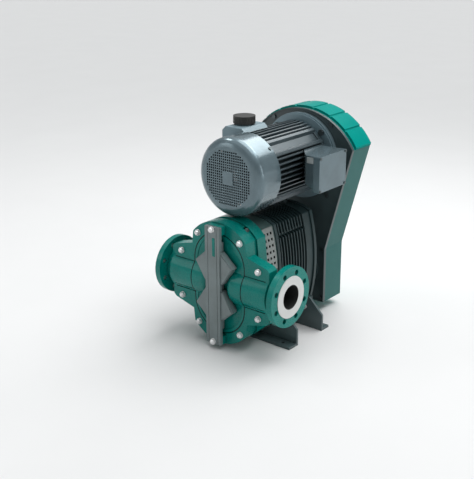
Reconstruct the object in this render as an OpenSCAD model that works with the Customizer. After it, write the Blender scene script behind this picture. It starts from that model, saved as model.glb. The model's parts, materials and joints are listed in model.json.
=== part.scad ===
// Rotary lobe pump with two shafts, a toothed belt drive and a motor on top
// X runs along the flow from port to port, -Y is the cover end, +Z is up
// The origin is on the floor, at the middle of the pump's length and depth

/* [Ports] */
// Distance between the two port faces
port_length = 497; // [470:1:530]
// Bore of each port
bore_d = 80; // [65:1:84]
// Outside diameter of each port flange
flange_d = 200; // [192:1:210]
// Thickness of each port flange without its raised face
flange_t = 20.5; // [16:0.5:24]
// Diameter of the bolt circle of each port flange
flange_pcd = 160; // [158:1:166]
// Number of bolt holes in each port flange
flange_holes = 8; // [4:4:8]
// Diameter of the bolt holes in each port flange
flange_hole_d = 18; // [14:1:18]
// Diameter of the raised sealing face
raised_d = 138; // [120:1:139]
// Height of the raised sealing face
raised_t = 2; // [1:0.5:3]
// Diameter of the neck behind each port flange
neck_d = 124; // [112:1:134]
// Diameter of the round flow channel that bulges out of the head
channel_d = 152; // [140:1:160]

/* [Pump chamber] */
// Height of the flow axis above the floor
axis_z = 220; // [216:1:260]
// Distance between the two pump shafts
shaft_gap = 124; // [120:1:128]
// Width of the pump chamber along the shafts
chamber_w = 84; // [72:1:96]
// Gap between a rotor and the wall, the plates and the other rotor
rotor_gap = 0.4; // [0.2:0.1:0.8]
// Thickness of the wear plates
wear_t = 4; // [3:0.5:6]
// Thickness of the front cover behind its seam
cover_t = 9; // [8:0.5:14]
// Width of the wall beside the chamber
side_wall = 26.5; // [24:0.5:30]
// Width of the wall above and below the chamber
end_wall = 55.5; // [54:0.5:56]
// Reach of each ear from the middle of the head
ear_reach = 204; // [196:1:208]
// Thickness of the ears
ear_t = 40; // [34:1:46]

/* [Clamp] */
// Width of the clamp bar
bar_w = 60; // [54:1:66]
// Thickness of the clamp bar
bar_t = 12; // [10:1:16]
// Thickness of the clamp wings
wing_t = 24; // [18:1:28]

/* [Gear housing] */
// Thickness of the seal plate behind the pump chamber
rear_plate_t = 16; // [14:1:20]
// Length of the lantern between the head and the gear housing
lantern_l = 59; // [56:1:66]
// Thickness of the flanges of the gear housing
gear_flange_t = 13; // [10:1:16]
// Number of cooling fins round the gear housing
fin_count = 10; // [8:1:10]
// Distance from one cooling fin to the next
fin_pitch = 15.5; // [15:0.5:17]
// Thickness of a cooling fin
fin_t = 5; // [3:0.5:6]
// Length of the smooth part of the gear housing
smooth_l = 39; // [34:1:50]
// Length of the neck between the gear housing and the belt guard
neck_l = 67; // [60:1:80]

/* [Drive] */
// Pitch of the belt's teeth
belt_pitch = 8; // [8:0.1:8.2]
// Teeth of the belt
belt_teeth = 156; // [155:1:160]
// Teeth of the pulley on the lower shaft
driven_teeth = 72; // [68:1:74]
// Teeth of the pulley on the motor shaft
motor_teeth = 36; // [34:1:38]
// Width of the belt
belt_w = 36; // [30:1:44]
// Depth of the belt guard
guard_l = 100; // [90:1:110]
// Thickness of the guard's back plate
guard_plate_t = 8; // [6:1:10]
// Wall of the guard's shell
guard_wall = 4; // [3:0.5:6]

/* [Motor] */
// Diameter of the fan cowl
cowl_d = 260; // [256:1:264]
// Length of the fan cowl
cowl_l = 107; // [100:1:114]
// Length of the finned motor frame
frame_l = 265; // [255:1:280]
// Diameter of the motor's mounting flange
motor_flange_d = 300; // [296:1:306]
// Thickness of the motor's mounting flange
motor_flange_t = 14; // [12:1:16]
// Diameter of the motor shaft
motor_shaft_d = 38; // [32:1:40]

/* [Feet] */
// Overall width of each foot
foot_w = 408; // [390:1:430]
// Thickness of the feet
foot_t = 8; // [6:1:8]
// Height of the foot's upright edge
foot_edge = 58; // [40:1:60]
// Diameter of the hole in each foot end
foot_hole_d = 14; // [11:0.5:16]

/* [Hidden] */
$fn = 72;

// Running gap of a bolt in its hole, and of seated parts
fit = 0.15;
run_gap = 0.3;
eps = 0.01;

// Shafts, rotors and chamber
pitch_r = shaft_gap / 2;
roll_r = pitch_r / 4;
rotor_recess = 18;
chamber_r = pitch_r + 2 * roll_r + rotor_gap;
shaft_r = 20;
seal_shaft_r = 22.5;
bearing_shaft_r = 25;
head_w = chamber_r + side_wall;
head_h = pitch_r + chamber_r + end_wall;
head_top_r = head_w + 23;
head_side_r = 1250;
seam_r = chamber_r + 11.5;
seam_rise = 5;
seam_gap = 1.6;
seam_d = 4;
seal_out = 3.5;
seal_in = 8;
body_inset = 6;
body_l = 19;
crease_w = 2.4;
crease_d = 4.5;

// Stations along the shafts, measured from the flow axis
y_chamber = chamber_w / 2;
y_seat = y_chamber + wear_t;
y_face = -y_seat - cover_t;
y_ear = y_face + ear_t;
y_body = y_ear + body_l;
y_plate = y_seat + rear_plate_t;
y_lantern = y_seat + lantern_l;
y_gear0 = y_lantern + gear_flange_t;
y_fins = y_gear0 + fin_count * fin_pitch;
y_smooth = y_fins + smooth_l;
y_gear1 = y_smooth + gear_flange_t;
y_guard0 = y_gear1 + neck_l;
y_guard1 = y_guard0 + guard_plate_t;
y_end = y_guard1 + guard_l;

// Ports
half_l = port_length / 2;
bore_r = bore_d / 2;
flange_back = half_l - raised_t - flange_t;
channel_r = channel_d / 2;
neck_r = neck_d / 2;
throat_r = bore_r - 3;
throat_x = head_w - 2;
neck_x = head_w + 6;

// Clamp bridge
bar_back = -channel_r;
bar_front = bar_back - bar_t;
wing_back = -channel_r + 16;
wing_front = wing_back - wing_t;
wing_bevel = 3;
spine_w = 48;
spine_h = 300;
stud_z = pitch_r + seam_rise + seam_r + 23;
bar_h = stud_z + 8;
boss_w = bar_w - 4;
boss_low = 19;
boss_high = 9;
bar_groove_x = bar_w / 2 - 12;
bar_groove = 1.5;
nut_h = 14;
y_front = bar_front - nut_h;
mid_y = (y_front + y_end) / 2;

// Screws of the pump head
stud_r = 6;
screw_r = 5;
head_bolt_x = 88;
head_bolt_z = stud_z - 37;
ear_bolt_x = ear_reach - 42;
ear_bolt_z = 80;
plate_screw_x = 66;
plate_screw_z = head_h - 31;
plate_screw_y = y_body + 8;
plate_screw_l = y_seat + 8 - plate_screw_y;
plate_screw_pocket = 12.5;

// Lantern, with windows measured from the flow axis
lantern_wall = 13;
lantern_front = 10;
window_z0 = 47;
window_z1 = 167;
window_y0 = y_seat + 4.5;
window_y1 = y_lantern - 7;
sheet_t = 3;
sheet_edge_y = 2.5;
sheet_edge_z = 10;
sheet_hole = 8.5;
sheet_hole_y0 = 4.5;
sheet_pitch_y = 16.3;
sheet_pitch_z = 20;

// Seal plate, held between the housing and the lantern
seal_plate_r = 102;
seal_plate_step = 6;
seal_spigot_r = 96;

// Shaft seals
seal_face_y = y_plate + 1;
seal_seat_l = 12;
seal_seat_r = 34;
seal_bore_r = seal_shaft_r + 1.5;

// Gear housing
gear_half_w = head_w + 4;
gear_half_h = head_h - 11;
gear_side_r = 600;
gear_end_r = 262;
gear_corner_r = head_h - 8;
gear_cavity_inset = 26;
fin_notch = 8;
cover_screw_x = 66;
cover_screw_z = head_h - 37;
cover_screw_side = head_w - 14;
plug_y = (y_fins + y_smooth) / 2;
plug_z = gear_half_h - 22;
plug_r = 9;
neck_r_drive = 59;

// Bearings of the pump shafts
bearing_r = 45;
bearing_w = 22;
front_bearing_y = y_lantern + 4;
rear_bearing_y = y_smooth - bearing_w + 8;
gear_wall_y = front_bearing_y + bearing_w;

// Timing gears
gear_teeth = 31;
gear_module = shaft_gap / gear_teeth;
gear_y0 = gear_wall_y + 14;
gear_w = 30;
gear_backlash = 0.4;
pressure_angle = 20;
base_r = pitch_r * cos(pressure_angle);

// Belt drive
driven_r = driven_teeth * belt_pitch / (2 * PI);
motor_pulley_r = motor_teeth * belt_pitch / (2 * PI);
belt_line = 0.7;
belt_t = 3.5;
belt_l = belt_teeth * belt_pitch;
belt_b = 2 * belt_l - 2 * PI * (driven_r + motor_pulley_r);
belt_c = (belt_b + sqrt(pow(belt_b, 2) - 32 * pow(driven_r - motor_pulley_r, 2))) / 8;
motor_z = belt_c - pitch_r;
pulley_y0 = y_guard1 + 22;
pulley_y1 = pulley_y0 + belt_w + 6;

// Belt guard outline, heights measured from the flow axis
guard_foot_z = -188;
guard_low_w = 110;
guard_kink_z = 17;
guard_arc_r = motor_flange_d / 2 + 95;
guard_arc_drop = 81;
guard_arc_z = motor_z - guard_arc_drop;
guard_top_rise = 44;
guard_top_w = sqrt(pow(guard_arc_r, 2) - pow(guard_arc_drop + guard_top_rise, 2)) - 0.5;
guard_screw_xz = (motor_flange_d / 2 + 18) * cos(45);
guard_screw_in = 13;
guard_screw_x = guard_low_w - guard_screw_in;
guard_screw_l = 28;
guard_boss_r = 8;
guard_lobes = 7;
guard_lobe_a = 16.9;
guard_lobe_r = guard_arc_r + 7;
guard_rim = 4;

// Motor, heights measured from its own axis
cowl_r = cowl_d / 2;
motor_pcd = motor_flange_d - 35;
motor_spigot_r = motor_pcd / 2 - 17.5;
motor_flange_rim = 5.5;
motor_flange_step = 3;
y_motor_flange = y_guard0 - motor_flange_t;
y_frame1 = y_motor_flange - 13;
y_frame0 = y_frame1 - frame_l;
y_cowl = y_frame0 - cowl_l;
frame_r = 104;
frame_bore_r = 92;
frame_tip_r = 127;
grille_r = 93;
motor_fin_t = 4;
motor_fin_pitch = 16;
pad_r = 117;
pad_w = 56;
end_ring_l = 12;
end_ring_r = 121;
rotor_core_r = 60;
motor_r = motor_shaft_d / 2;
shield_r = 116;
motor_bearing_r = 40;
motor_bearing_w = 23;
fan_bearing_y = y_frame0 - 14;
drive_bearing_y = y_frame1 - 10;
fan_y0 = y_cowl + 36;
fan_y1 = y_frame0 - 20;
cowl_wall = 3;
shoulder_r = cowl_r - grille_r - 3;
shoulder_d = 27;

// Terminal box and fluid tank
box_x1 = 190;
box_x2 = 215;
box_y1 = y_frame1 - 23;
box_y0 = box_y1 - 151;
box_z0 = -56;
box_z1 = 60;
box_neck_x = 156;
box_neck_y = 66;
box_low_z = -36;
tank_x0 = -115;
tank_x1 = -19;
tank_y0 = y_frame0 + 3;
tank_y1 = tank_y0 + 122;
tank_z0 = 84;
tank_z1 = 136;
cap_x = (tank_x0 + tank_x1) / 2 - 7;
cap_y = tank_y0 + 65;
cap_r = 37;
cap_h = 25;

// Feet
foot_half = foot_w / 2;
foot_y0 = y_lantern - foot_t;
foot_front_l = 41;
foot_gap_k = fin_count - 3;
foot_y1 = y_gear0 + (foot_gap_k + 1) * fin_pitch + 1;
foot_rear_l = 35;
foot_hole_x = foot_half - 42;
lug_x0 = 96;
lug_x1 = 150;
lug_z0 = 62 - axis_z;
lug_z1 = 112 - axis_z;
lug_t = 12;
lug_bolt_x = 132;

// An outline in X and Z, carried from y0 to y1
module along_y(y0, y1) {
    translate([0, y1, 0]) rotate([90, 0, 0]) linear_extrude(height = y1 - y0) children();
}

// A round bar along the shafts
module rod_y(r, y0, y1) {
    translate([0, y1, 0]) rotate([90, 0, 0]) cylinder(r = r, h = y1 - y0);
}

// A round bar along the flow
module rod_x(r, x0, x1) {
    translate([x0, 0, 0]) rotate([0, 90, 0]) cylinder(r = r, h = x1 - x0);
}

// A ring along the shafts
module ring_y(r_in, r_out, y0, y1) {
    difference() {
        rod_y(r_out, y0, y1);
        rod_y(r_in, y0 - 1, y1 + 1);
    }
}

// A body of revolution about the shaft direction, drawn as radius and y
module turned_y() {
    rotate([-90, 0, 0]) rotate_extrude() children();
}

module both_x() {
    children();
    mirror([1, 0, 0]) children();
}

module both_z() {
    children();
    mirror([0, 0, 1]) children();
}

// The two pump shafts, the flow axis and the motor axis
module at_head() {
    translate([0, -mid_y, axis_z]) children();
}

module at_lower() {
    at_head() translate([0, 0, -pitch_r]) children();
}

module at_upper() {
    at_head() translate([0, 0, pitch_r]) children();
}

module at_motor() {
    at_head() translate([0, 0, motor_z]) children();
}

module at_both_shafts() {
    for (s = [-1, 1]) translate([0, 0, s * pitch_r]) children();
}

// Two circles at the shafts joined by a block
module stadium(r) {
    translate([0, pitch_r]) circle(r);
    translate([0, -pitch_r]) circle(r);
    square([2 * r, shaft_gap], center = true);
}

module chamber_outline(r) {
    translate([0, pitch_r]) circle(r);
    translate([0, -pitch_r]) circle(r);
}

// Seam of the front cover: a little taller than the chamber
module seam_outline(r) {
    translate([0, pitch_r + seam_rise]) circle(r);
    translate([0, -pitch_r - seam_rise]) circle(r);
    square([2 * r, shaft_gap + 2 * seam_rise], center = true);
}

// The barrel outline of the head: two flat side arcs and two round ends
module barrel(w, h, side_r, end_r) {
    intersection() {
        translate([w - side_r, 0]) circle(side_r, $fn = 400);
        translate([side_r - w, 0]) circle(side_r, $fn = 400);
        union() {
            translate([0, h - end_r]) circle(end_r);
            translate([0, end_r - h]) circle(end_r);
            square([2 * end_r, 2 * (h - end_r)], center = true);
        }
    }
}

module head_outline(inset) {
    barrel(head_w - inset, head_h - inset, head_side_r, head_top_r - inset);
}

// The rounder barrel of the gear housing: four arcs
module gear_outline(inset) {
    w = gear_half_w - inset;
    h = gear_half_h - inset;
    intersection() {
        translate([w - gear_side_r, 0]) circle(gear_side_r, $fn = 300);
        translate([gear_side_r - w, 0]) circle(gear_side_r, $fn = 300);
        translate([0, h - gear_end_r]) circle(gear_end_r, $fn = 180);
        translate([0, gear_end_r - h]) circle(gear_end_r, $fn = 180);
        circle(gear_corner_r - inset, $fn = 180);
    }
}

// A hexagon nut or head with a domed cap, standing out to -Y from y
module cap_nut(r, y) {
    rod_y(r + 1.5, y - 2, y);
    along_y(y - 8, y - 2) circle(r * 1.15, $fn = 6);
    intersection() {
        translate([0, y - 6, 0]) sphere(r * 0.95);
        rod_y(r, y - nut_h, y - 7);
    }
}

// A hexagon head screw, head towards -Y, shank into +Y
module hex_screw(r, y, l) {
    along_y(y - 1.2 * r, y) circle(r * 1.9, $fn = 6);
    rod_y(r, y - eps, y + l);
}

// A cylinder head screw with a hexagon socket, head towards -Y
module socket_screw(r, y, l) {
    difference() {
        rod_y(r * 1.7, y - 1.8 * r, y);
        along_y(y - 2 * r, y - 0.8 * r) circle(r * 0.9, $fn = 6);
    }
    rod_y(r, y - eps, y + l);
}

// Places of the screws, as modules that repeat their children
module at_head_bolts() {
    for (x = [-1, 1]) for (z = [-1, 1]) translate([x * head_bolt_x, 0, z * head_bolt_z]) children();
}

module at_ear_bolts() {
    for (x = [-1, 1]) for (z = [-1, 1]) translate([x * ear_bolt_x, 0, z * ear_bolt_z]) children();
}

module at_plate_screws() {
    for (x = [-1, 1]) for (z = [-1, 1]) translate([x * plate_screw_x, 0, z * plate_screw_z]) children();
}

module at_gear_cover_screws() {
    for (x = [-1, 1]) for (z = [-1, 1]) translate([x * cover_screw_x, 0, z * cover_screw_z]) children();
    for (x = [-1, 1]) translate([x * cover_screw_side, 0, 0]) children();
}

// Ears: one side, drawn from inside the barrel out to its end
module ear_outline() {
    polygon([
        [head_w - 20, -120], [ear_reach - 9, -94], [ear_reach, -85],
        [ear_reach, 87], [ear_reach - 9, 96], [head_w - 20, 120]
    ]);
}

// Round channel along the flow, cut off at y1
module channel(x0, x1, r, y1) {
    intersection() {
        rod_x(r, x0, x1);
        translate([x0, -r - 1, -r - 1]) cube([x1 - x0, r + 1 + y1, 2 * r + 2]);
    }
}

module port_flange() {
    rod_x(flange_d / 2, flange_back, half_l - raised_t);
    rod_x(raised_d / 2, flange_back + 1, half_l);
    rod_x(neck_r, neck_x, flange_back + 1);
    channel(head_w - 20, neck_x + 1, neck_r, y_seat);
}

module flange_cuts() {
    for (i = [0 : flange_holes - 1]) {
        rotate([(i + 0.5) * 360 / flange_holes, 0, 0])
            translate([0, 0, flange_pcd / 2])
                rod_x(flange_hole_d / 2, flange_back - 1, half_l + 1);
    }
}

// Casting creases along the ears, cut in from the surface at their height
function ear_surface(z) = abs(z) < channel_r ? min(y_face, -sqrt(pow(channel_r, 2) - pow(z, 2))) : y_face;

module ear_creases() {
    for (z = [53, -42, -54]) {
        translate([seam_r + 2, -channel_r - 1, z - crease_w / 2])
            cube([ear_reach - seam_r - 16, ear_surface(z) + crease_d + channel_r + 1, crease_w]);
    }
}

// Boss under each end of the clamp bar
module clamp_boss(y0, y1) {
    translate([-boss_w / 2, y0, stud_z - boss_low]) cube([boss_w, y1 - y0, boss_low + boss_high]);
}

module at_studs() {
    for (z = [-1, 1]) translate([0, 0, z * stud_z]) children();
}

module pump_housing() {
    color("teal") at_head() difference() {
        union() {
            along_y(y_face, y_ear) head_outline(0);
            along_y(y_ear - 1, y_body + 1) head_outline(body_inset);
            along_y(y_body, y_seat) head_outline(0);
            both_x() along_y(y_face, y_ear) ear_outline();
            both_x() channel(seam_r - 8, ear_reach - 2, channel_r, y_ear);
            both_x() port_flange();
            both_z() clamp_boss(bar_back, y_face + 1);
        }
        along_y(y_face - channel_r, -y_seat) seam_outline(seam_r);
        along_y(-y_seat - 1, y_seat + 1) chamber_outline(chamber_r);
        rod_x(throat_r, -half_l, half_l);
        both_x() rod_x(bore_r, throat_x, half_l + 1);
        both_x() flange_cuts();
        both_x() ear_creases();
        along_y(-y_seat - eps, -y_seat + 3) difference() {
            seam_outline(seam_r - seal_out);
            seam_outline(seam_r - seal_in);
        }
        at_head_bolts() rod_y(stud_r + fit, y_face - 1, y_seat - 1.5);
        at_ear_bolts() rod_y(stud_r + fit, y_face - 1, y_ear + 1);
        at_plate_screws() rod_y(screw_r + fit, plate_screw_y - 1, y_seat + 1);
        at_plate_screws() rod_y(plate_screw_pocket, y_ear - 1, plate_screw_y);
        at_studs() rod_y(stud_r + fit, bar_back - 1, y_face + 31);
    }
}

// Rounded end of the channel bulge on the cover; grow moves its surface outwards
module channel_end(grow) {
    end_x = bar_w / 2 + 10;
    end_r = 20;
    rod_x(channel_r + grow, end_x + end_r, seam_r + 2);
    rod_x(channel_r - end_r, end_x - grow, end_x + end_r + 1);
    translate([end_x + end_r, 0, 0]) rotate([0, 90, 0]) rotate_extrude()
        translate([channel_r - end_r, 0]) circle(end_r + grow);
}

module front_cover() {
    color("teal") at_head() {
        difference() {
            union() {
                along_y(y_face, y_face + seam_d) seam_outline(seam_r - seam_gap);
                along_y(y_face + seam_d - eps, -y_seat) seam_outline(seam_r - run_gap);
            }
            along_y(y_face - 1, y_face + 2) seam_outline(seam_r - 12);
        }
        intersection() {
            both_x() channel_end(0);
            along_y(y_face - channel_r, -y_seat - 2) seam_outline(seam_r - seam_gap);
        }
    }
}

module cover_seal() {
    color("black") at_head() along_y(-y_seat, -y_seat + 3 - fit) difference() {
        seam_outline(seam_r - seal_out - fit);
        seam_outline(seam_r - seal_in + fit);
    }
}

// One wing of the clamp, right and upper
module wing_outline(inset) {
    polygon([
        [bar_w / 2 - 2, 119 - 2 * inset], [78 - 1.4 * inset, 75],
        [36, 13 + inset], [bar_w / 2 - 2, 12 + inset]
    ]);
}

// The part of a wing that reaches back to the cover, above the channel
module wing_foot_outline() {
    polygon([
        [bar_w / 2 - 8, 110], [72, 74], [64, channel_r - 16], [bar_w / 2 - 8, channel_r - 16]
    ]);
}

module clamp_bridge() {
    color("gray") at_head() difference() {
        union() {
            along_y(bar_front, bar_back) square([bar_w, 2 * bar_h], center = true);
            both_x() both_z() along_y(wing_front + wing_bevel, wing_back) wing_outline(0);
            both_x() both_z() along_y(wing_front, wing_back) wing_outline(wing_bevel);
            along_y(bar_back - 1, wing_back) square([spine_w, spine_h], center = true);
            both_x() both_z() along_y(wing_back - 1, y_face + 2) wing_foot_outline();
        }
        both_x() channel_end(run_gap);
        at_studs() rod_y(stud_r + fit, bar_front - 1, bar_back + 1);
        both_x() translate([bar_groove_x, bar_front - 1, -bar_h - 1])
            cube([bar_groove, bar_groove + 1, 2 * bar_h + 2]);
    }
}

module clamp_studs() {
    color("silver") at_head() at_studs() {
        cap_nut(9, bar_front);
        rod_y(stud_r, bar_front - 4, y_face + 30);
    }
}

module head_bolts() {
    color("silver") at_head() at_head_bolts() {
        cap_nut(9, y_face);
        rod_y(stud_r, y_face - 4, y_seat - 2);
    }
}

module ear_bolts() {
    color("silver") at_head() at_ear_bolts() {
        cap_nut(9, y_face);
        rod_y(stud_r, y_face - 4, y_ear + 9);
        along_y(y_ear, y_ear + 7) circle(stud_r * 1.8, $fn = 6);
    }
}

module front_wear_plate() {
    color("silver") at_head() along_y(-y_seat, -y_chamber) chamber_outline(chamber_r - fit);
}

module rear_wear_plate() {
    color("silver") at_head() difference() {
        along_y(y_chamber, y_seat) chamber_outline(chamber_r - fit);
        at_both_shafts() rod_y(seal_bore_r, y_chamber - 1, y_seat + 1);
    }
}

module rear_plate() {
    color("dimgray") at_head() difference() {
        union() {
            along_y(y_seat, y_seat + seal_plate_step) stadium(seal_plate_r);
            along_y(y_seat + 1, y_plate) stadium(seal_spigot_r);
        }
        at_both_shafts() rod_y(seal_bore_r, y_seat - 1, y_plate + 1);
        at_both_shafts() rod_y(seal_seat_r + fit, y_plate - seal_seat_l, y_plate + 1);
    }
}

module plate_screws() {
    color("silver") at_head() at_plate_screws() socket_screw(screw_r, plate_screw_y, plate_screw_l);
}

module lantern_outline(inset) {
    gear_outline(3 + inset);
}

module window_box(grow_y, grow_z) {
    translate([head_w - 40, window_y0 - grow_y, window_z0 - grow_z])
        cube([50, window_y1 - window_y0 + 2 * grow_y, window_z1 - window_z0 + 2 * grow_z]);
}

// A rim of the lantern's wall between two insets
module lantern_rim(inset_out, inset_in) {
    along_y(y_seat, y_lantern) difference() {
        lantern_outline(inset_out);
        lantern_outline(inset_in);
    }
}

module lantern() {
    color("dimgray") at_head() difference() {
        along_y(y_seat, y_lantern) lantern_outline(0);
        along_y(y_seat + lantern_front, y_lantern + 1) lantern_outline(lantern_wall);
        along_y(y_seat - 1, y_seat + seal_plate_step + fit) stadium(seal_plate_r + fit);
        along_y(y_seat, y_seat + lantern_front + 1) stadium(seal_spigot_r + fit);
        at_plate_screws() rod_y(screw_r + fit, y_seat - 1, y_seat + 8.5);
        both_x() both_z() intersection() {
            window_box(0, 0);
            lantern_rim(-1, lantern_wall + 0.5);
        }
        both_x() both_z() intersection() {
            window_box(sheet_edge_y + fit, sheet_edge_z + fit);
            lantern_rim(-1, sheet_t);
        }
    }
}

module lantern_guards() {
    rows = 6;
    columns = 3;
    color("lightgray") at_head() both_x() both_z() difference() {
        intersection() {
            window_box(sheet_edge_y, sheet_edge_z);
            lantern_rim(0, sheet_t);
        }
        for (i = [0 : rows - 1]) for (j = [0 : columns - 1]) {
            translate([head_w - 40, window_y0 + sheet_hole_y0 + j * sheet_pitch_y - sheet_hole / 2,
                window_z0 + (i + 0.5) * sheet_pitch_z - sheet_hole / 2])
                cube([50, sheet_hole, sheet_hole]);
        }
    }
}

// Lobe rotor: epicycloid tips and hypocycloid waists, drawn in by the gap
function cycloid_point(a, t, s) =
    let (centre = (pitch_r + s * roll_r) * [cos(a + t), sin(a + t)])
    let (turn = s > 0 ? a + 5 * t : a - 3 * t)
    centre - s * roll_r * [cos(turn), sin(turn)];

function rotor_point(a, t, s) =
    let (q = cycloid_point(a, t, s))
    let (n = q - pitch_r * [cos(a + t), sin(a + t)])
    q - s * rotor_gap * n / norm(n);

rotor_points = [
    for (k = [0 : 3]) for (t = [4 : 6 : 86]) rotor_point(-45 + 90 * k, t, k % 2 == 0 ? 1 : -1)
];

module lobe_rotor() {
    y0 = -y_chamber + rotor_gap;
    y1 = y_chamber - rotor_gap;
    difference() {
        along_y(y0, y1) polygon(rotor_points);
        rod_y(shaft_r + fit, y0 - 1, y1 + 1);
        rod_y(25, y0 - 1, y0 + rotor_recess);
        translate([0, 0, shaft_r]) along_y(y0 + rotor_recess + 8, y1 + 1) square([12.2, 7], center = true);
    }
}

module rotor_screw() {
    y0 = -y_chamber + rotor_gap + rotor_recess;
    ring_y(8 + fit, 24.8, y0 - 5, y0);
    hex_screw(8, y0 - 5, 40);
}

module lower_rotor() {
    color("black") at_lower() rotate([0, 90, 0]) lobe_rotor();
}

module upper_rotor() {
    color("black") at_upper() lobe_rotor();
}

module lower_rotor_screw() {
    color("silver") at_lower() rotor_screw();
}

module upper_rotor_screw() {
    color("silver") at_upper() rotor_screw();
}

// Shaft seals between the pump chamber and the lantern
module seal_seats() {
    color("silver") at_head() at_both_shafts()
        ring_y(seal_shaft_r + 1, seal_seat_r, y_plate - seal_seat_l, seal_face_y);
}

module seal_ring() {
    ring_y(seal_shaft_r + fit, 30, seal_face_y + 0.2, seal_face_y + 12);
    ring_y(seal_shaft_r + fit, 33, seal_face_y + 12 - eps, seal_face_y + 24);
}

module lower_seal_ring() {
    color("silver") at_lower() seal_ring();
}

module upper_seal_ring() {
    color("silver") at_upper() seal_ring();
}

// Bearings of the pump shafts sit in the front wall and in the rear cover
module at_pump_bearings() {
    for (y = [front_bearing_y, rear_bearing_y]) translate([0, y, 0]) children();
}

module gear_housing() {
    color("darkslategray") at_head() difference() {
        union() {
            along_y(y_lantern, y_gear0) gear_outline(0);
            along_y(y_gear0 - 1, y_fins) gear_outline(18);
            for (k = [0 : fin_count - 1]) {
                y = y_gear0 + (k + 1) * fin_pitch;
                along_y(y - fin_t, y) difference() {
                    gear_outline(4);
                    both_x() translate([head_w - 36, 136]) rotate(-20) square([60, fin_notch]);
                    both_x() translate([head_w - 36, -136 - fin_notch]) rotate(20) square([60, fin_notch]);
                }
            }
            along_y(y_fins - 1, y_smooth) gear_outline(8);
            both_x() foot_lug(y_lantern, y_gear0);
            both_x() foot_lug(foot_y1 + foot_t, foot_y1 + foot_t + lug_t);
        }
        along_y(gear_wall_y, y_smooth + 1) gear_outline(gear_cavity_inset);
        at_both_shafts() rod_y(seal_shaft_r + 3, y_lantern - 1, gear_wall_y + 1);
        at_both_shafts() rod_y(bearing_r, front_bearing_y, gear_wall_y + 1);
        at_both_shafts() rod_y(33, front_bearing_y - 1.5, gear_wall_y);
        at_foot_bolts() rod_y(screw_r + fit, y_lantern - 1, y_gear0 + 1);
        at_foot_bolts() rod_y(screw_r + fit, foot_y1, foot_y1 + foot_t + lug_t + 1);
        translate([0, 0, plug_z - 10]) rod_z_hole(plug_r, 60, plug_y);
        translate([0, 0, -plug_z - 50]) rod_z_hole(plug_r, 60, plug_y);
        at_gear_cover_screws() rod_y(screw_r + fit, y_smooth - 16, y_smooth + 1);
    }
}

module rod_z_hole(r, h, y) {
    translate([0, y, 0]) cylinder(r = r, h = h);
}

// Lug on the gear housing that a foot is bolted to
module foot_lug(y0, y1) {
    translate([lug_x0 - 20, y0, lug_z0]) cube([lug_x1 - lug_x0 + 20, y1 - y0, lug_z1 - lug_z0]);
}

module at_foot_bolts() {
    for (x = [-1, 1]) for (z = [12, 38]) translate([x * lug_bolt_x, 0, lug_z0 + z]) children();
}

module gear_cover() {
    color("darkslategray") at_head() difference() {
        union() {
            along_y(y_smooth, y_gear1) gear_outline(3);
            along_y(rear_bearing_y, y_smooth + 1) union() {
                at_cover_bosses() circle(bearing_r + 9);
            }
            translate([0, 0, -pitch_r]) rod_y(neck_r_drive, y_gear1 - 1, y_guard0);
            translate([0, 0, -pitch_r]) rod_y(neck_r_drive + 26, y_guard0 - 10, y_guard0);
        }
        at_both_shafts() rod_y(bearing_r, rear_bearing_y - 1, rear_bearing_y + bearing_w);
        at_both_shafts() rod_y(33, rear_bearing_y, rear_bearing_y + bearing_w + 2.5);
        translate([0, 0, -pitch_r]) rod_y(32, rear_bearing_y, y_guard0 + 1);
        at_gear_cover_screws() rod_y(screw_r + fit, y_smooth - 1, y_gear1 + 1);
    }
}

module at_cover_bosses() {
    for (s = [-1, 1]) translate([0, s * pitch_r]) children();
}

module gear_cover_screws() {
    color("silver") at_head() at_gear_cover_screws() {
        along_y(y_gear1, y_gear1 + 6) circle(9, $fn = 6);
        rod_y(screw_r, y_smooth - 15, y_gear1 + 1);
    }
}

module plug() {
    cylinder(r = plug_r - fit, h = 14);
    translate([0, 0, 14 - eps]) cylinder(r = 13, h = 3);
    translate([0, 0, 17 - 2 * eps]) cylinder(r = 10, h = 7, $fn = 6);
}

module fill_plug() {
    color("silver") at_head() translate([0, plug_y, plug_z]) plug();
}

module drain_plug() {
    color("silver") at_head() translate([0, plug_y, -plug_z]) mirror([0, 0, 1]) plug();
}

module bearing_outer_rings() {
    color("silver") at_head() at_both_shafts() at_pump_bearings() ring_y(39, bearing_r, 0, bearing_w);
}

module bearing_rollers() {
    rollers = 12;
    color("silver") at_head() at_both_shafts() at_pump_bearings() {
        for (i = [0 : rollers - 1]) rotate([0, i * 360 / rollers, 0])
            translate([0, 0, 35]) rod_y(4 - 0.1, 3, bearing_w - 3);
    }
}

module inner_rings() {
    at_pump_bearings() ring_y(bearing_shaft_r, 31, 0, bearing_w);
}

module lower_bearing_rings() {
    color("silver") at_lower() inner_rings();
}

module upper_bearing_rings() {
    color("silver") at_upper() inner_rings();
}

// Timing gears: involute teeth with a little backlash
function involute(a) = tan(a) - a * PI / 180;

function tooth_half(r) =
    90 / gear_teeth - (gear_backlash / 2 / pitch_r) * 180 / PI
    + (involute(pressure_angle) - involute(acos(min(1, base_r / r)))) * 180 / PI;

gear_radii = [
    pitch_r - 1.2 * gear_module, base_r, pitch_r - 1.5, pitch_r, pitch_r + 2, pitch_r + gear_module
];

function gear_points(phase) = [
    for (i = [0 : gear_teeth - 1]) for (j = [0 : 11])
        let (r = gear_radii[j < 6 ? j : 11 - j])
        let (a = (j < 6 ? -1 : 1) * tooth_half(r) + (i + phase) * 360 / gear_teeth)
        r * [sin(a), cos(a)]
];

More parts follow.
